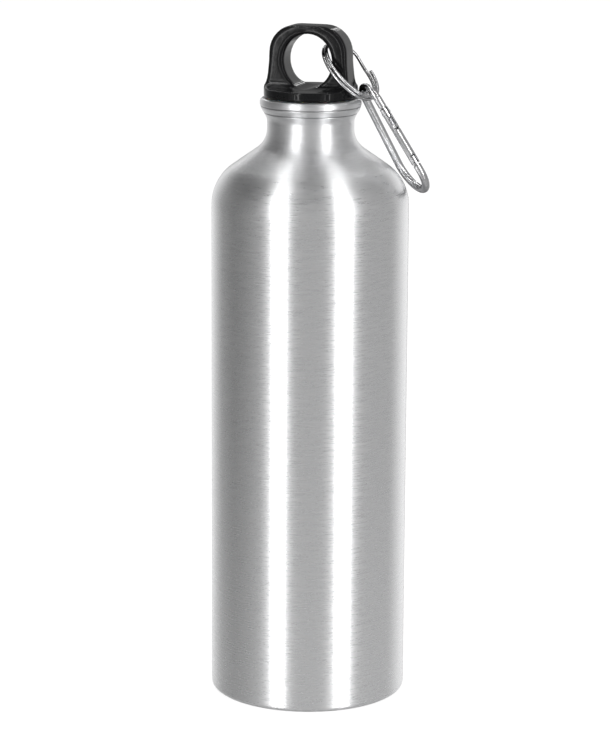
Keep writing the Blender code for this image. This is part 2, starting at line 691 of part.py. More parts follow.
def build():
    """Make every piece."""
    for old in list(bpy.data.objects):
        bpy.data.objects.remove(old)
    aluminium = material("brushed_aluminium", (0.78, 0.79, 0.81), 0.32, 1)
    plastic = material("black_plastic", (0.012, 0.012, 0.014), 0.18, 0)
    silicone = material("clear_silicone", (0.62, 0.63, 0.62), 0.45, 0)
    plating = material("bright_plating", (0.80, 0.80, 0.81), 0.12, 1)
    steel = material("spring_steel", (0.52, 0.52, 0.54), 0.28, 1)
    bottle_shell(aluminium)
    loop_cap(plastic)
    cap_gasket(silicone)
    split_ring(plating)
    frame = carabiner_frame(plating)
    gate = carabiner_gate(plating, frame)
    domed_pin("gate_rivet", RIVET_RADIUS, GATE_RADIUS + PIN_PROUD, steel, gate)
    nose_pin = domed_pin("nose_pin", NOSE_PIN_RADIUS, GATE_RADIUS, steel, gate)
    nose_pin.location.x = NOSE_PIN_PLACE - RIVET_PLACE
    gate_plunger(steel, gate)
    gate_spring(steel, gate)


build()
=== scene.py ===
# %% [markdown]
# # An aluminium water bottle with a loop cap, a split ring and a snap hook
#
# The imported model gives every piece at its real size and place, in metres, with +Z up. This script gives
# each piece its fine surface and its finish, and sets up a plain studio with soft light.
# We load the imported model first, because every new piece is laid on it.

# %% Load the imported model
import math

import bpy
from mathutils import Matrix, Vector


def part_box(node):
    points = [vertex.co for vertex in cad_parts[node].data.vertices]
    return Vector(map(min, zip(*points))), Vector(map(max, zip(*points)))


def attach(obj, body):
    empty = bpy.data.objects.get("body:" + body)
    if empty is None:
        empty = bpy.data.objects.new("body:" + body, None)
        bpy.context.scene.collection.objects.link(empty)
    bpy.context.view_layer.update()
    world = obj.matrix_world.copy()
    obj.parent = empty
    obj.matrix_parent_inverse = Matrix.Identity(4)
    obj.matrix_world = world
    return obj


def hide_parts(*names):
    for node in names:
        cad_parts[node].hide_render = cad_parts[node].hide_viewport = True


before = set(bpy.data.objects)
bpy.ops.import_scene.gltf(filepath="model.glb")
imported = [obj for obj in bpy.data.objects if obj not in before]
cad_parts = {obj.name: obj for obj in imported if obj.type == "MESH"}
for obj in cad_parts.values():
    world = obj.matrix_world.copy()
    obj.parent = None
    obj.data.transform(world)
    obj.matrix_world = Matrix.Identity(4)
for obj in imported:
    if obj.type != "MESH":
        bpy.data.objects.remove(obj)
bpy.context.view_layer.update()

MM = 0.001
FULL_TURN = math.tau
QUARTER = math.pi / 2

# %% [markdown]
# ## Camera
#
# The photograph was taken with a long lens from a little above the cap, and a bit to the right of the loop's
# front. A long lens keeps the bottle's sides nearly parallel. We place the camera by its distance, its height
# and its heading round the bottle, and turn it down and a hair sideways, as the photograph shows.

# %% Camera
CAMERA_HEADING = math.radians(19)
CAMERA_DISTANCE = 1100 * MM
CAMERA_HEIGHT = 370.9 * MM
CAMERA_PITCH = math.radians(12.68)
CAMERA_ROLL = math.radians(0.34)
CAMERA_SIDESTEP = 0.65 * MM
CAMERA_LENS = 147.6

towards_camera = Vector((math.sin(CAMERA_HEADING), -math.cos(CAMERA_HEADING), 0))
to_the_right = Vector((math.cos(CAMERA_HEADING), math.sin(CAMERA_HEADING), 0))

bpy.ops.object.camera_add()
camera = bpy.context.object
camera.data.lens = CAMERA_LENS
camera.data.sensor_width = 36
camera.location = towards_camera * CAMERA_DISTANCE - to_the_right * CAMERA_SIDESTEP
camera.location.z = CAMERA_HEIGHT
camera.rotation_euler = (QUARTER - CAMERA_PITCH, 0, CAMERA_HEADING)
bpy.context.view_layer.update()
camera.rotation_euler.rotate_axis("Z", CAMERA_ROLL)
bpy.context.scene.camera = camera
bpy.context.scene.view_settings.view_transform = "Standard"
print("camera at", [round(value, 4) for value in camera.location])

# %% [markdown]
# ## Node helpers
#
# Brushed metal, moulded plastic and plating all need small variations that come from noise. We build each
# effect once, as a group of nodes with named inputs, and place it in each material that needs it, with that
# material's own values.

# %% Small helpers for node trees
def new_node(tree, kind, **settings):
    """Add a node and set its options."""
    node = tree.nodes.new(kind)
    for name, value in settings.items():
        setattr(node, name, value)
    return node


def new_group(name, inputs, outputs):
    """An empty shader node group with named float or vector sockets."""
    group = bpy.data.node_groups.new(name, "ShaderNodeTree")
    for label, kind, value in inputs:
        socket = group.interface.new_socket(label, in_out="INPUT", socket_type=kind)
        socket.default_value = value
    for label, kind in outputs:
        group.interface.new_socket(label, in_out="OUTPUT", socket_type=kind)
    return group, group.nodes.new("NodeGroupInput"), group.nodes.new("NodeGroupOutput")


def place_group(tree, group, **values):
    """Put a group in a material and give its inputs their values."""
    node = tree.nodes.new("ShaderNodeGroup")
    node.node_tree = group
    for name, value in values.items():
        node.inputs[name.replace("_", " ")].default_value = value
    return node


def remap(tree, source, low, high, from_low=0, from_high=1):
    """Spread a value between two others."""
    node = tree.nodes.new("ShaderNodeMapRange")
    node.inputs["From Min"].default_value = from_low
    node.inputs["From Max"].default_value = from_high
    node.inputs["To Min"].default_value = low
    node.inputs["To Max"].default_value = high
    tree.links.new(source, node.inputs["Value"])
    return node.outputs["Result"]


def blend_colours(tree, factor, first, second):
    """Mix two colours by a mask."""
    node = new_node(tree, "ShaderNodeMix", data_type="RGBA")
    tree.links.new(factor, node.inputs["Factor"])
    node.inputs["A"].default_value = (*first, 1)
    node.inputs["B"].default_value = (*second, 1)
    return node.outputs["Result"]


def bumped(tree, shader, height, depth, strength):
    """Let a height ruffle the shader's normal."""
    node = new_node(tree, "ShaderNodeBump")
    node.inputs["Strength"].default_value = strength
    node.inputs["Distance"].default_value = depth
    tree.links.new(height, node.inputs["Height"])
    tree.links.new(node.outputs["Normal"], shader.inputs["Normal"])


def new_material(name, metallic, **constants):
    """A material with its Principled shader, whose constants are set on its own sockets."""
    made = bpy.data.materials.new(name)
    made.use_nodes = True
    shader = made.node_tree.nodes["Principled BSDF"]
    shader.inputs["Metallic"].default_value = metallic
    for label, value in constants.items():
        shader.inputs[label.replace("_", " ")].default_value = value
    return made, made.node_tree, shader


# %% [markdown]
# ### Lines that run round the axis
#
# The bottle was brushed while it spun, so its scratches are fine level rings. Noise that is stretched
# along X and Y and squeezed along Z gives short level strokes on any surface turned about Z.

# %% Group: level strokes
STROKES_DETAIL = 3
STROKES_ROUGHNESS = 0.65
STROKES_NOISE = (0.32, 0.68)

strokes_group, strokes_in, strokes_out = new_group(
    "level_strokes",
    [("Per metre up", "NodeSocketFloat", 4000), ("Per metre round", "NodeSocketFloat", 80)],
    [("Strokes", "NodeSocketFloat")])
strokes_place = new_node(strokes_group, "ShaderNodeTexCoord")
strokes_scale = new_node(strokes_group, "ShaderNodeCombineXYZ")
strokes_stretch = new_node(strokes_group, "ShaderNodeVectorMath", operation="MULTIPLY")
strokes_noise = new_node(strokes_group, "ShaderNodeTexNoise")
strokes_noise.inputs["Scale"].default_value = 1
strokes_noise.inputs["Detail"].default_value = STROKES_DETAIL
strokes_noise.inputs["Roughness"].default_value = STROKES_ROUGHNESS
strokes_group.links.new(strokes_in.outputs["Per metre round"], strokes_scale.inputs["X"])
strokes_group.links.new(strokes_in.outputs["Per metre round"], strokes_scale.inputs["Y"])
strokes_group.links.new(strokes_in.outputs["Per metre up"], strokes_scale.inputs["Z"])
strokes_group.links.new(strokes_place.outputs["Object"], strokes_stretch.inputs[0])
strokes_group.links.new(strokes_scale.outputs["Vector"], strokes_stretch.inputs[1])
strokes_group.links.new(strokes_stretch.outputs["Vector"], strokes_noise.inputs["Vector"])
strokes_group.links.new(remap(strokes_group, strokes_noise.outputs["Fac"], 0, 1, *STROKES_NOISE),
                        strokes_out.inputs["Strokes"])

# %% [markdown]
# ### Handling marks
#
# No finish is even: moulded plastic ripples a little, and polished metal has faint rubbed patches.
# One group of soft noise serves them all, with the size of its patches as its input.

# %% Group: soft patches
PATCHES_DETAIL = 4
PATCHES_NOISE = (0.3, 0.7)

patches_group, patches_in, patches_out = new_group(
    "soft_patches",
    [("Per metre", "NodeSocketFloat", 200)],
    [("Patches", "NodeSocketFloat")])
patches_place = new_node(patches_group, "ShaderNodeTexCoord")
patches_noise = new_node(patches_group, "ShaderNodeTexNoise")
patches_noise.inputs["Detail"].default_value = PATCHES_DETAIL
patches_group.links.new(patches_place.outputs["Object"], patches_noise.inputs["Vector"])
patches_group.links.new(patches_in.outputs["Per metre"], patches_noise.inputs["Scale"])
patches_group.links.new(remap(patches_group, patches_noise.outputs["Fac"], 0, 1, *PATCHES_NOISE),
                        patches_out.inputs["Patches"])

# %% [markdown]
# ## Finishes
#
# Brushed aluminium is a metal whose shine spreads across its scratches: up and down, here. The shader's
# anisotropy does that. Strokes of two lengths make its colour, roughness and relief uneven, which frays the
# edges of the bands of light. The shoulder and the neck look smoother in the photograph, so there the
# strokes are fainter and the shine is rounder. The two grooves under the lip show there as dark lines, so a
# painted shade darkens the colour in a thin band at each groove.

# %% Brushed aluminium
FINE_SHARE = 0.78
LONG_SHARE = 0.22
STROKE_DEPTH = 0.012 * MM
STROKE_STRENGTH = 0.22
SHOULDER_START = (182 * MM, 196 * MM)
SHOULDER_STROKES = 0.55
SHOULDER_EVENNESS = 0.55
ANISOTROPY = (0.85, 0.45)
BRUSHED_ROUGHNESS = (0.19, 0.43)
SPUN_NECK_START = (196 * MM, 208 * MM)
SPUN_NECK_ROUGHER = 0.06
GROOVE_HEIGHTS = (219.6 * MM, 222.1 * MM)
# The half width and the colour of the painted shade in the two grooves.
GROOVE_PAINTED_SHADE_HALF = 0.22 * MM
GROOVE_PAINTED_SHADE = (0.42, 0.42, 0.43)
ALUMINIUM_DARK = (0.76, 0.765, 0.775)
ALUMINIUM_LIGHT = (0.91, 0.91, 0.915)

aluminium, tree, shader = new_material("brushed_aluminium_finish", 1, Anisotropic_Rotation=0.25)
tangent = new_node(tree, "ShaderNodeTangent", direction_type="RADIAL", axis="Z")
tree.links.new(tangent.outputs["Tangent"], shader.inputs["Tangent"])
fine = place_group(tree, strokes_group, Per_metre_up=2700, Per_metre_round=190)
long = place_group(tree, strokes_group, Per_metre_up=1700, Per_metre_round=22)
both = new_node(tree, "ShaderNodeMath", operation="MULTIPLY_ADD")
both.inputs[1].default_value = FINE_SHARE
tree.links.new(fine.outputs["Strokes"], both.inputs[0])
tree.links.new(remap(tree, long.outputs["Strokes"], 0, LONG_SHARE), both.inputs[2])
height = new_node(tree, "ShaderNodeSeparateXYZ")
tree.links.new(new_node(tree, "ShaderNodeTexCoord").outputs["Object"], height.inputs["Vector"])
calm = new_node(tree, "ShaderNodeMath", operation="MULTIPLY")
tree.links.new(both.outputs["Value"], calm.inputs[0])
tree.links.new(remap(tree, height.outputs["Z"], 1, SHOULDER_STROKES, *SHOULDER_START), calm.inputs[1])
# Painted shade: a thin band at each groove height gets a darker colour.
grooves = []
for groove in GROOVE_HEIGHTS:
    near = new_node(tree, "ShaderNodeMath", operation="COMPARE")
    near.inputs[1].default_value = groove
    near.inputs[2].default_value = GROOVE_PAINTED_SHADE_HALF
    tree.links.new(height.outputs["Z"], near.inputs[0])
    grooves.append(near.outputs["Value"])
groove_painted_shade_mask = new_node(tree, "ShaderNodeMath", operation="MAXIMUM")
tree.links.new(grooves[0], groove_painted_shade_mask.inputs[0])
tree.links.new(grooves[1], groove_painted_shade_mask.inputs[1])
# The painted groove shade replaces the brushed colour in those bands.
groove_painted_shade_mix = new_node(tree, "ShaderNodeMix", data_type="RGBA")
tree.links.new(groove_painted_shade_mask.outputs["Value"], groove_painted_shade_mix.inputs["Factor"])
tree.links.new(blend_colours(tree, calm.outputs["Value"], ALUMINIUM_DARK, ALUMINIUM_LIGHT),
               groove_painted_shade_mix.inputs["A"])
groove_painted_shade_mix.inputs["B"].default_value = (*GROOVE_PAINTED_SHADE, 1)
tree.links.new(groove_painted_shade_mix.outputs["Result"], shader.inputs["Base Color"])
evened = new_node(tree, "ShaderNodeMix", data_type="FLOAT")
evened.inputs["B"].default_value = 0.5
tree.links.new(remap(tree, height.outputs["Z"], 0, SHOULDER_EVENNESS, *SHOULDER_START),
               evened.inputs["Factor"])
tree.links.new(both.outputs["Value"], evened.inputs["A"])
uneven = new_node(tree, "ShaderNodeMath", operation="ADD")
tree.links.new(remap(tree, evened.outputs["Result"], *BRUSHED_ROUGHNESS), uneven.inputs[0])
tree.links.new(remap(tree, height.outputs["Z"], 0, SPUN_NECK_ROUGHER, *SPUN_NECK_START), uneven.inputs[1])
tree.links.new(uneven.outputs["Value"], shader.inputs["Roughness"])
tree.links.new(remap(tree, height.outputs["Z"], *ANISOTROPY, *SHOULDER_START), shader.inputs["Anisotropic"])
bumped(tree, shader, calm.outputs["Value"], STROKE_DEPTH, STROKE_STRENGTH)

# %% [markdown]
# The cap is black moulded plastic with a high gloss. Its colour hardly shows; what shows is the studio in
# its surface, so a slow ripple and a slightly uneven roughness make the reflections look moulded.

# %% Black plastic
PLASTIC_DARK = (0.004, 0.004, 0.004)
PLASTIC_LIGHT = (0.009, 0.009, 0.010)
PLASTIC_ROUGHNESS = (0.06, 0.10)
RIPPLE_DEPTH = 0.05 * MM
RIPPLE_STRENGTH = 0.25

plastic, tree, shader = new_material("black_plastic_finish", 0, Specular_IOR_Level=0.17)
ripple = place_group(tree, patches_group, Per_metre=220)
speck = place_group(tree, patches_group, Per_metre=2600)
tree.links.new(blend_colours(tree, speck.outputs["Patches"], PLASTIC_DARK, PLASTIC_LIGHT),
               shader.inputs["Base Color"])
tree.links.new(remap(tree, ripple.outputs["Patches"], *PLASTIC_ROUGHNESS), shader.inputs["Roughness"])
bumped(tree, shader, ripple.outputs["Patches"], RIPPLE_DEPTH, RIPPLE_STRENGTH)

# %% [markdown]
# The gasket is clear silicone gone milky: soft, satin and a little translucent.

# %% Clear silicone
SILICONE_DARK = (0.58, 0.59, 0.58)
SILICONE_LIGHT = (0.70, 0.71, 0.70)
SILICONE_ROUGHNESS = (0.38, 0.52)

silicone, tree, shader = new_material("clear_silicone_finish", 0, Subsurface_Weight=0.3,
                                      Subsurface_Scale=0.002)
cloud = place_group(tree, patches_group, Per_metre=500)
tree.links.new(blend_colours(tree, cloud.outputs["Patches"], SILICONE_DARK, SILICONE_LIGHT),
               shader.inputs["Base Color"])
tree.links.new(remap(tree, cloud.outputs["Patches"], *SILICONE_ROUGHNESS), shader.inputs["Roughness"])

# %% [markdown]
# The ring and the hook are nickel-plated and polished. Keys and straps rub them, so the plating has faint
# rubbed patches, and very fine scratches in its gloss. Its colour is also darkened where the wire turns away
# from the eye: a painted dark reflection, which gives the wire the dark rims that the photograph shows.

# %% Bright plating
PLATING_DARK = (0.60, 0.60, 0.61)
PLATING_LIGHT = (0.74, 0.74, 0.75)
# The colour of the painted dark reflection on the wire's rims, and where it starts and ends.
PLATING_PAINTED_DARK_RIM = (0.10, 0.10, 0.11)
PAINTED_RIM_START_AND_END = (0.30, 0.85)
PLATING_ROUGHNESS = (0.03, 0.08)
SCRATCH_DEPTH = 0.004 * MM
SCRATCH_STRENGTH = 0.2

plating, tree, shader = new_material("bright_plating_finish", 1)
rubbed = place_group(tree, patches_group, Per_metre=420)
scratch = place_group(tree, strokes_group, Per_metre_up=3800, Per_metre_round=600)
# Painted dark reflection: the colour turns dark where the wire faces away from the eye.
painted_rim_facing = new_node(tree, "ShaderNodeLayerWeight")
painted_rim_facing.inputs["Blend"].default_value = 0.5
painted_rim_mix = new_node(tree, "ShaderNodeMix", data_type="RGBA")
tree.links.new(remap(tree, painted_rim_facing.outputs["Facing"], 0, 1, *PAINTED_RIM_START_AND_END), painted_rim_mix.inputs["Factor"])
tree.links.new(blend_colours(tree, rubbed.outputs["Patches"], PLATING_DARK, PLATING_LIGHT), painted_rim_mix.inputs["A"])
painted_rim_mix.inputs["B"].default_value = (*PLATING_PAINTED_DARK_RIM, 1)
tree.links.new(painted_rim_mix.outputs["Result"], shader.inputs["Base Color"])
tree.links.new(remap(tree, rubbed.outputs["Patches"], *PLATING_ROUGHNESS), shader.inputs["Roughness"])
bumped(tree, shader, scratch.outputs["Strokes"], SCRATCH_DEPTH, SCRATCH_STRENGTH)

# %% [markdown]
# The hook's pins, its plunger and its spring are plain drawn steel, darker and duller than the plating.

# %% Spring steel
STEEL_DARK = (0.46, 0.46, 0.48)
STEEL_LIGHT = (0.60, 0.60, 0.62)
STEEL_ROUGHNESS = (0.22, 0.36)

steel, tree, shader = new_material("spring_steel_finish", 1)
worn = place_group(tree, patches_group, Per_metre=900)
tree.links.new(blend_colours(tree, worn.outputs["Patches"], STEEL_DARK, STEEL_LIGHT),
               shader.inputs["Base Color"])
tree.links.new(remap(tree, worn.outputs["Patches"], *STEEL_ROUGHNESS), shader.inputs["Roughness"])
print("finishes made:", [finish.name for finish in (aluminium, plastic, silicone, plating, steel)])

# %% [markdown]
# ## Helpers for pieces
#
# Two ways of modelling serve most of this object. A turned piece is an outline spun round the axis. A piece
# that isn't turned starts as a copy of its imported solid, whose facets are melted away: the copy is rebuilt
# from fine even faces, which are then relaxed until edges are as soft as moulding and polishing leave them.

# %% Selecting, finishing and placing pieces
def select_only(piece):
    """Deselect everything, then select one piece and make it active."""
    bpy.ops.object.select_all(action="DESELECT")
    piece.select_set(True)
    bpy.context.view_layer.objects.active = piece


def dress(piece, body, finish, slot, *nodes):
    """Give a piece its finish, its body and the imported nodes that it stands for."""
    piece.data.materials.clear()
    piece.data.materials.append(finish)
    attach(piece, body)
    if nodes:
        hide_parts(*nodes)
    piece.data.calc_loop_triangles()
    print(piece.name, "triangles:", len(piece.data.loop_triangles))


def arc(centre, radius, start, end, steps):
    """Points along a circular arc, as (radius, height) pairs."""
    points = []
    for step in range(steps + 1):
        angle = start + (end - start) * step / steps
        points.append((centre[0] + radius * math.cos(angle), centre[1] + radius * math.sin(angle)))
    return points


WELD = 0.001 * MM


def turned(name, outline, steps, closed=False):
    """Spin an outline of (radius, height) points round the bottle's axis."""
    mesh = bpy.data.meshes.new(name)
    edges = [(index, index + 1) for index in range(len(outline) - 1)]
    if closed:
        edges.append((len(outline) - 1, 0))
    mesh.from_pydata([(radius, 0, height) for radius, height in outline], edges, [])
    piece = bpy.data.objects.new(name, mesh)
    bpy.context.scene.collection.objects.link(piece)
    select_only(piece)
    bpy.ops.object.mode_set(mode="EDIT")
    bpy.ops.mesh.select_all(action="SELECT")
    bpy.ops.mesh.spin(steps=steps, angle=FULL_TURN, center=(0, 0, 0), axis=(0, 0, 1))
    bpy.ops.mesh.select_all(action="SELECT")
    bpy.ops.mesh.remove_doubles(threshold=WELD)
    bpy.ops.mesh.normals_make_consistent(inside=False)
    bpy.ops.object.mode_set(mode="OBJECT")
    return piece


def melted(node, name, fineness, passes):
    """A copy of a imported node, rebuilt from even faces of one size and relaxed."""
    piece = bpy.data.objects.new(name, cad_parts[node].data.copy())
    bpy.context.scene.collection.objects.link(piece)
    select_only(piece)
    bpy.ops.object.mode_set(mode="EDIT")
    bpy.ops.mesh.select_all(action="SELECT")
    bpy.ops.mesh.remove_doubles(threshold=WELD)
    bpy.ops.object.mode_set(mode="OBJECT")
    rebuild = piece.modifiers.new("rebuild", "REMESH")
    rebuild.mode = "VOXEL"
    rebuild.voxel_size = fineness
    relax = piece.modifiers.new("relax", "SMOOTH")
    relax.factor = 0.5
    relax.iterations = passes
    bpy.ops.object.modifier_apply(modifier="rebuild")
    bpy.ops.object.modifier_apply(modifier="relax")
    bpy.ops.object.shade_smooth()
    return piece


# %% [markdown]
# ## Bottle
#
# The real shell is one tube of aluminium, drawn in at the top over a round shoulder and rolled outward at the
# mouth. Its outline is a straight wall, a convex arc, a short cone and a hollow arc up to the neck, then the
# flare and the lip's bead. The same run a wall's thickness further in makes the inside.

# %% Bottle outline
_, shell_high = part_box("bottle_shell")
BODY_RADIUS = shell_high.x
LIP_TOP = shell_high.z
BODY_STRAIGHT_TOP = 185.3 * MM
BODY_WALL = 0.8 * MM
FOOT_EDGE_RADIUS = 2.0 * MM
FOOT_WIDTH = 3.5 * MM
RECESS_DEPTH = 1.0 * MM
RECESS_RUN = 2.5 * MM
FLOOR_THICKNESS = 1.2 * MM
INNER_HEEL_RADIUS = 3.0 * MM
SHOULDER_RADIUS = 17.7 * MM
SHOULDER_SLOPE = math.radians(35)
COVE_RADIUS = 9.3 * MM
NECK_RADIUS = 16.04 * MM
NECK_WALL = 1.94 * MM
BORE_RADIUS = NECK_RADIUS - NECK_WALL
LIP_RADIUS = 18.75 * MM
LIP_HEIGHT = 8.6 * MM
FLARE_HEIGHT = 6.6 * MM
LIP_EDGE_RADIUS = 1.5 * MM
MOUTH_EDGE_RADIUS = 0.5 * MM
GROOVE_DEPTH = 0.26 * MM
GROOVE_HALF_HEIGHT = 0.36 * MM


def shoulder(radius, neck_radius, shoulder_radius, cove_radius):
    """Outline from the straight wall to the neck: a convex arc, a cone and a hollow arc."""
    turn = QUARTER - SHOULDER_SLOPE
    bends = shoulder_radius + cove_radius
    run = (radius - neck_radius - bends * (1 - math.cos(turn))) / math.cos(SHOULDER_SLOPE)
    rise = bends * math.sin(turn) + run * math.sin(SHOULDER_SLOPE)
    convex = arc((radius - shoulder_radius, BODY_STRAIGHT_TOP), shoulder_radius, 0, turn, 28)
    cove_centre = (neck_radius + cove_radius, BODY_STRAIGHT_TOP + rise)
    return convex + arc(cove_centre, cove_radius, math.pi + turn, math.pi, 20)


def flare(steps=90):
    """The neck's outward sweep to the lip, with the two fine turned grooves that show as dark lines."""
    bottom = LIP_TOP - LIP_HEIGHT
    points = []
    for step in range(steps + 1):
        share = step / steps
        swell = share * share * (3 - 2 * share)
        height = bottom + FLARE_HEIGHT * share
        dip = max(0, *(1 - abs(height - groove) / GROOVE_HALF_HEIGHT for groove in GROOVE_HEIGHTS))
        points.append((NECK_RADIUS + (LIP_RADIUS - NECK_RADIUS) * swell - GROOVE_DEPTH * dip, height))
    return points


def bottle_outline():
    """The shell's closed outline, from the recess under the base round to the floor inside."""
    foot_outer = BODY_RADIUS - FOOT_EDGE_RADIUS
    foot_inner = foot_outer - FOOT_WIDTH
    inner_radius = BODY_RADIUS - BODY_WALL
    floor = RECESS_DEPTH + FLOOR_THICKNESS
    outer_top = shoulder(BODY_RADIUS, NECK_RADIUS, SHOULDER_RADIUS, COVE_RADIUS)
    inner_top = shoulder(inner_radius, BORE_RADIUS, SHOULDER_RADIUS - BODY_WALL, COVE_RADIUS + NECK_WALL)
    outline = [(0, RECESS_DEPTH), (foot_inner - RECESS_RUN, RECESS_DEPTH), (foot_inner, 0)]
    outline += arc((foot_outer, FOOT_EDGE_RADIUS), FOOT_EDGE_RADIUS, -QUARTER, 0, 12)
    outline += [(BODY_RADIUS, BODY_STRAIGHT_TOP * share) for share in (0.1, 0.3, 0.5, 0.7, 0.9)]
    outline += outer_top + flare()
    outline += arc((LIP_RADIUS - LIP_EDGE_RADIUS, LIP_TOP - LIP_EDGE_RADIUS), LIP_EDGE_RADIUS, 0, QUARTER, 12)
    outline += arc((BORE_RADIUS + MOUTH_EDGE_RADIUS, LIP_TOP - MOUTH_EDGE_RADIUS), MOUTH_EDGE_RADIUS,
                   QUARTER, 2 * QUARTER, 6)
    outline += reversed(inner_top)
    outline += arc((inner_radius - INNER_HEEL_RADIUS, floor + INNER_HEEL_RADIUS), INNER_HEEL_RADIUS,
                   0, -QUARTER, 8)
    outline.append((0, floor))
    return outline


# %% [markdown]
# The outline spun round the axis is the whole shell. Only its sharp edges, such as those of the two grooves,
# keep their crease.

# %% Bottle
SMOOTH_BELOW = math.radians(28)

bottle = turned("bottle_body", bottle_outline(), steps=224)
select_only(bottle)
bpy.ops.object.shade_smooth_by_angle(angle=SMOOTH_BELOW)
dress(bottle, "bottle", aluminium, "brushed_aluminium", "bottle_shell")

# %% [markdown]
# ## Screw threads
#
# The cap's plug screws into the neck, 4 mm a turn. Each thread is a small ridge swept up a helix: a closed
# four-cornered outline with the Screw modifier, whose two open ends are then filled. The neck's ridge
# runs half a pitch above the plug's, so the two slide past each other as the cap turns.

# %% Threads
THREAD_PITCH = 4.0 * MM
THREAD_DEPTH = 0.55 * MM
THREAD_SUNK = 0.12 * MM
THREAD_ROOT_HALF = 0.85 * MM
THREAD_CREST_HALF = 0.35 * MM
THREAD_TURNS = 2
THREAD_STEPS = 72
THREAD_SMOOTH_BELOW = math.radians(30)
PLUG_RADIUS = 12.7 * MM
PLUG_THREAD_BOTTOM = 214.3 * MM


def thread(name, wall_radius, outward, bottom):
    """A helical ridge that stands out from a round wall, outward or inward."""
    root = wall_radius - outward * THREAD_SUNK
    crest = wall_radius + outward * THREAD_DEPTH
    corners = [(root, 0, bottom - THREAD_ROOT_HALF), (crest, 0, bottom - THREAD_CREST_HALF),
               (crest, 0, bottom + THREAD_CREST_HALF), (root, 0, bottom + THREAD_ROOT_HALF)]
    mesh = bpy.data.meshes.new(name)
    mesh.from_pydata(corners, [(0, 1), (1, 2), (2, 3), (3, 0)], [])
    ridge = bpy.data.objects.new(name, mesh)
    bpy.context.scene.collection.objects.link(ridge)
    select_only(ridge)
    climb = ridge.modifiers.new("climb", "SCREW")
    climb.axis = "Z"
    climb.angle = FULL_TURN
    climb.screw_offset = THREAD_PITCH
    climb.iterations = THREAD_TURNS
    climb.steps = THREAD_STEPS
    climb.render_steps = THREAD_STEPS
    climb.merge_threshold = WELD
    bpy.ops.object.modifier_apply(modifier="climb")
    bpy.ops.object.mode_set(mode="EDIT")
    bpy.ops.mesh.select_mode(type="EDGE")
    bpy.ops.mesh.select_all(action="DESELECT")
    bpy.ops.mesh.select_non_manifold()
    bpy.ops.mesh.fill_holes(sides=4)
    bpy.ops.mesh.select_all(action="SELECT")
    bpy.ops.mesh.normals_make_consistent(inside=False)
    bpy.ops.object.mode_set(mode="OBJECT")
    bpy.ops.object.shade_smooth_by_angle(angle=THREAD_SMOOTH_BELOW)
    return ridge


plug_thread = thread("plug_thread", PLUG_RADIUS, 1, PLUG_THREAD_BOTTOM)
dress(plug_thread, "cap", plastic, "black_plastic")
neck_thread = thread("neck_thread", BORE_RADIUS, -1, PLUG_THREAD_BOTTOM + THREAD_PITCH / 2)
dress(neck_thread, "bottle", aluminium, "brushed_aluminium")

# %% [markdown]
# ## Cap
#
# The cap is one moulding: a skirt that sweeps up into a flat carrying loop, with a hollow screw plug below.
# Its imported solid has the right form, in facets. Melting them gives the soft edges of a real moulding, on
# which the highlights run as smooth lines.

# %% Cap
cap = melted("loop_cap", "cap_moulding", fineness=0.275 * MM, passes=22)
dress(cap, "cap", plastic, "black_plastic", "loop_cap")

# %% [markdown]
# ## Gasket
#
# A soft ring with rounded corners lies in the cap's recess, where the cap presses it on the lip.

# %% Gasket
gasket_low, gasket_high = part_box("cap_gasket")
GASKET_WIDTH = 3.0 * MM
GASKET_ROUNDING = 0.45 * MM


def gasket_outline():
    """A rectangle with rounded corners, between the gasket's two radii."""
    inner = gasket_high.x - GASKET_WIDTH + GASKET_ROUNDING
    outer = gasket_high.x - GASKET_ROUNDING
    low = gasket_low.z + GASKET_ROUNDING
    high = gasket_high.z - GASKET_ROUNDING
    corners = [(outer, low), (outer, high), (inner, high), (inner, low)]
    outline = []
    for index, corner in enumerate(corners):
        outline += arc(corner, GASKET_ROUNDING, (index - 1) * QUARTER, index * QUARTER, 5)
    return outline


gasket = turned("gasket_ring", gasket_outline(), steps=144, closed=True)
select_only(gasket)
bpy.ops.object.shade_smooth()
dress(gasket, "gasket", silicone, "clear_silicone", "cap_gasket")

# %% [markdown]
# ## Split ring and snap hook
#
# The ring is a flat wire wound nearly twice round, and the hook is a bent rod with a sprung gate. Both are
# small, so their faces are finer, and enough passes of relaxing turn their facets into round wire.

# %% Split ring
ring = melted("split_ring", "split_ring_wire", fineness=0.12 * MM, passes=14)
dress(ring, "ring", plating, "bright_plating", "split_ring")

# %% Snap hook
hook = melted("carabiner_frame", "hook_rod", fineness=0.12 * MM, passes=26)
dress(hook, "carabiner", plating, "bright_plating", "carabiner_frame")
gate = melted("carabiner_gate", "hook_gate", fineness=0.10 * MM, passes=10)
dress(gate, "gate", plating, "bright_plating", "carabiner_gate")

# %% [markdown]
# The rivet, the nose pin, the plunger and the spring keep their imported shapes, which are right as they are.
# They only get their finish.

# %% Small steel pieces
for node in ("gate_rivet", "nose_pin", "gate_plunger", "gate_spring"):
    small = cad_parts[node]
    small.data.materials.clear()
    small.data.materials.append(steel)
    print("finished as packed:", node)

# %% [markdown]
# ## Studio
#
# Polished and brushed metal looks like what it reflects. The bands on the photographed bottle suggest a grey
# room with two long lights, left and right of the camera, that run up and over the bottle and draw together
# behind it. The room also gets a white backdrop with a dark slot in it, right behind the bottle. Each light is
# a pair of bright tubes with a soft glow between them: brushed metal spreads them into one band, and polished
# metal and plastic show them as thin lines.
#
# So the brightness of the world depends on the heading near the camera's level, and on the sideways lean
# further up. The ceiling is dimmer, and below, the room fades to a plain grey. A colour holds at most 1, so
# every brightness is divided by the peak, and the background's strength gives the peak back.

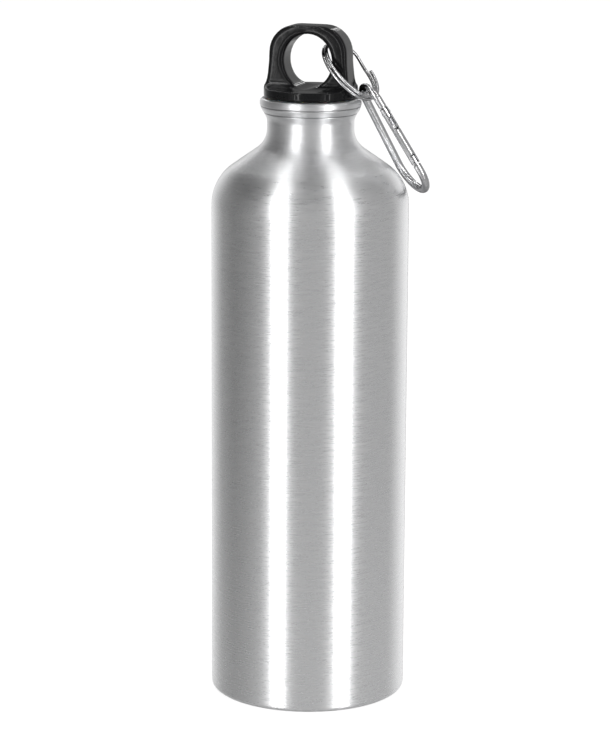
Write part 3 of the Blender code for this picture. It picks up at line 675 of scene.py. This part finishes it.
# %% The room's headings and leans
PEAK = 30.0
LEVEL_BRIGHTNESS = [
    (-180, 0.20), (-172, 0.20), (-166, 1.00), (-142, 0.62), (-125, 0.32), (-100, 0.19), (-80, 0.25),
    (-58, 0.39), (-41.7, 1.20), (-41.2, 12.0), (-39.7, 12.0), (-39.2, 0.60), (-32, 0.60), (-31.5, 12.0),
    (-30, 12.0), (-29.5, 1.00), (-17, 0.45), (20, 0.45), (34, 1.20), (34.5, 12.0), (36, 12.0), (36.5, 0.60),
    (44.3, 0.60), (44.8, 12.0), (46.3, 12.0), (46.8, 1.20), (62, 0.44), (112, 0.42), (142, 0.90),
    (164, 1.00), (170, 0.20), (180, 0.20)]
LEAN_BRIGHTNESS = [
    (-1.5, 0.15), (-1.0, 0.19), (-0.80, 0.28), (-0.72, 0.50), (-0.655, 1.00), (-0.650, 30.0), (-0.645, 30.0),
    (-0.640, 0.60), (-0.505, 0.60), (-0.500, 30.0), (-0.495, 30.0), (-0.490, 1.00), (-0.38, 0.42),
    (-0.28, 0.34), (0.28, 0.34), (0.44, 0.42), (0.540, 1.00), (0.545, 30.0), (0.550, 30.0), (0.555, 0.60),
    (0.680, 0.60), (0.685, 30.0), (0.690, 30.0), (0.695, 1.00), (0.80, 0.50), (0.90, 0.40), (1.5, 0.37)]
LEAN_START = math.radians(35)
LEAN_END = math.radians(110)
LEAST_SPREAD_SHARE = 0.40
LEVEL_TO_LEAN = (0.20, 0.52)
LEVEL_TO_GROUND = (-0.30, -0.75)
GROUND_SHARE = 0.97
GROUND_BRIGHTNESS = 0.38
LEVEL_TO_CEILING = (0.90, 0.99)
CEILING_SHARE = 0.58

# %% [markdown]
# The world's nodes turn a ray's direction to face the camera and split it into front, side and up. From these
# come the heading and the lean. Each looks up its brightness, and height mixes the two.

# %% The room's nodes
world = bpy.data.worlds.new("studio")
world.use_nodes = True
bpy.context.scene.world = world
tree = world.node_tree
tree.nodes.clear()
turn_room = new_node(tree, "ShaderNodeMapping", vector_type="POINT")
turn_room.inputs["Rotation"].default_value = (0, 0, QUARTER - CAMERA_HEADING)
split_room = new_node(tree, "ShaderNodeSeparateXYZ")
tree.links.new(new_node(tree, "ShaderNodeTexCoord").outputs["Generated"], turn_room.inputs["Vector"])
tree.links.new(turn_room.outputs["Vector"], split_room.inputs["Vector"])


def worked(operation, first, second):
    """A sum in the world's nodes; a number or an output may stand for each term."""
    node = new_node(tree, "ShaderNodeMath", operation=operation)
    for socket, term in zip(node.inputs, (first, second)):
        if isinstance(term, (int, float)):
            socket.default_value = term
        else:
            tree.links.new(term, socket)
    return node.outputs["Value"]


def grey(brightness):
    """A brightness of the room as a colour, as a share of the peak."""
    return (brightness / PEAK, brightness / PEAK, brightness / PEAK, 1)


def room_ramp(value, pairs):
    """A colour ramp over a value, from pairs of that value and brightness."""
    low, high = pairs[0][0], pairs[-1][0]
    ramp = new_node(tree, "ShaderNodeValToRGB")
    stops = ramp.color_ramp.elements
    for place, brightness in pairs:
        at = (place - low) / (high - low)
        stop = stops[0] if at == 0 else stops[-1] if at == 1 else stops.new(at)
        stop.position = at
        stop.color = grey(brightness)
    tree.links.new(remap(tree, value, 0, 1, low, high), ramp.inputs["Fac"])
    return ramp.outputs["Color"]


front, side, up = (split_room.outputs[axis] for axis in "XYZ")
heading = worked("DEGREES", worked("ARCTAN2", side, front), 0)
overhead_angle = worked("ARCTAN2", up, front)
spread = remap(tree, overhead_angle, 1, LEAST_SPREAD_SHARE, LEAN_START, LEAN_END)
lean = worked("DIVIDE", side, spread)

by_height = new_node(tree, "ShaderNodeMix", data_type="RGBA")
tree.links.new(remap(tree, up, 0, 1, *LEVEL_TO_LEAN), by_height.inputs["Factor"])
tree.links.new(room_ramp(heading, LEVEL_BRIGHTNESS), by_height.inputs["A"])
tree.links.new(room_ramp(lean, LEAN_BRIGHTNESS), by_height.inputs["B"])
room = new_node(tree, "ShaderNodeMix", data_type="RGBA")
tree.links.new(remap(tree, up, 0, GROUND_SHARE, *LEVEL_TO_GROUND), room.inputs["Factor"])
ceiling = new_node(tree, "ShaderNodeVectorMath", operation="SCALE")
tree.links.new(by_height.outputs["Result"], ceiling.inputs["Vector"])
tree.links.new(remap(tree, up, 1, CEILING_SHARE, *LEVEL_TO_CEILING), ceiling.inputs["Scale"])
tree.links.new(ceiling.outputs["Vector"], room.inputs["A"])
room.inputs["B"].default_value = grey(GROUND_BRIGHTNESS)
print("stops of brightness in the room:", len(LEVEL_BRIGHTNESS) + len(LEAN_BRIGHTNESS))

# %% [markdown]
# The camera itself sees plain white instead of the room.

# %% World
lit = new_node(tree, "ShaderNodeBackground")
lit.inputs["Strength"].default_value = PEAK
seen = new_node(tree, "ShaderNodeBackground")
seen.inputs["Color"].default_value = (1, 1, 1, 1)
choice = new_node(tree, "ShaderNodeMixShader")
tree.links.new(room.outputs["Result"], lit.inputs["Color"])
tree.links.new(new_node(tree, "ShaderNodeLightPath").outputs["Is Camera Ray"], choice.inputs["Fac"])
tree.links.new(lit.outputs["Background"], choice.inputs[1])
tree.links.new(seen.outputs["Background"], choice.inputs[2])
tree.links.new(choice.outputs["Shader"], new_node(tree, "ShaderNodeOutputWorld").inputs["Surface"])

# %% [markdown]
# The floor is plain and white, and keeps the bottle's soft shadow. To the camera it is part paint and part
# glow, which makes it as white as the backdrop. The photographed metal shows hardly any floor, so most of the
# light that the metal reflects comes through the floor from the room below. Only close to the bottle does the
# floor show in the metal, faintly, which lightens the lower body a little.

# %% Floor
FLOOR_SIZE = 16
FLOOR_COLOUR = (0.9, 0.9, 0.9, 1)
FLOOR_GLOW_SHARE = 0.80
FLOOR_GLOW_STRENGTH = 1.12
FLOOR_IN_METAL_SHARE = 0.16
FLOOR_IN_METAL_NEAR = 0.10
FLOOR_IN_METAL_FAR = 0.65

floor_paint, tree, shader = new_material("studio_floor", 0, Roughness=0.9, Specular_IOR_Level=0.0)
shader.inputs["Base Color"].default_value = FLOOR_COLOUR
light_path = new_node(tree, "ShaderNodeLightPath")
glow = new_node(tree, "ShaderNodeEmission")
glow.inputs["Strength"].default_value = FLOOR_GLOW_STRENGTH
share = new_node(tree, "ShaderNodeMath", operation="MULTIPLY")
share.inputs[1].default_value = FLOOR_GLOW_SHARE
tree.links.new(light_path.outputs["Is Camera Ray"], share.inputs[0])
to_camera = new_node(tree, "ShaderNodeMixShader")
tree.links.new(share.outputs["Value"], to_camera.inputs["Fac"])
tree.links.new(shader.outputs["BSDF"], to_camera.inputs[1])
tree.links.new(glow.outputs["Emission"], to_camera.inputs[2])
away = new_node(tree, "ShaderNodeVectorMath", operation="LENGTH")
tree.links.new(new_node(tree, "ShaderNodeTexCoord").outputs["Object"], away.inputs[0])
clear_share = new_node(tree, "ShaderNodeMath", operation="MULTIPLY")
tree.links.new(remap(tree, away.outputs["Value"], 1 - FLOOR_IN_METAL_SHARE, 1, FLOOR_IN_METAL_NEAR,
                     FLOOR_IN_METAL_FAR), clear_share.inputs[0])
tree.links.new(light_path.outputs["Is Glossy Ray"], clear_share.inputs[1])
to_metal = new_node(tree, "ShaderNodeMixShader")
tree.links.new(clear_share.outputs["Value"], to_metal.inputs["Fac"])
tree.links.new(to_camera.outputs["Shader"], to_metal.inputs[1])
tree.links.new(new_node(tree, "ShaderNodeBsdfTransparent").outputs["BSDF"], to_metal.inputs[2])
tree.links.new(to_metal.outputs["Shader"], tree.nodes["Material Output"].inputs["Surface"])

bpy.ops.object.select_all(action="DESELECT")
bpy.ops.mesh.primitive_plane_add(size=FLOOR_SIZE, location=(0, 0, 0))
floor = bpy.context.object
floor.name = "studio_floor"
floor.data.materials.append(floor_paint)

# %% [markdown]
# One broad lamp overhead adds a soft shadow on the floor. It doesn't show in the metal, because the
# photograph has no light there.

# %% Lamp
LAMP_FORWARD = 0.35
LAMP_HEIGHT = 1.15
LAMP_AIM_BELOW = 1.0
LAMP_WIDTH = 0.9
LAMP_DEPTH = 0.7
LAMP_WATTS = 7

lamp_place = towards_camera * LAMP_FORWARD + Vector((0, 0, LAMP_HEIGHT))
bpy.ops.object.light_add(type="AREA", location=tuple(lamp_place))
lamp = bpy.context.object
lamp.name = "overhead_softbox"
lamp.data.shape = "RECTANGLE"
lamp.data.size = LAMP_WIDTH
lamp.data.size_y = LAMP_DEPTH
lamp.data.energy = LAMP_WATTS
lamp.visible_glossy = False
lamp.rotation_euler = (math.atan2(LAMP_FORWARD, LAMP_AIM_BELOW), 0, CAMERA_HEADING)
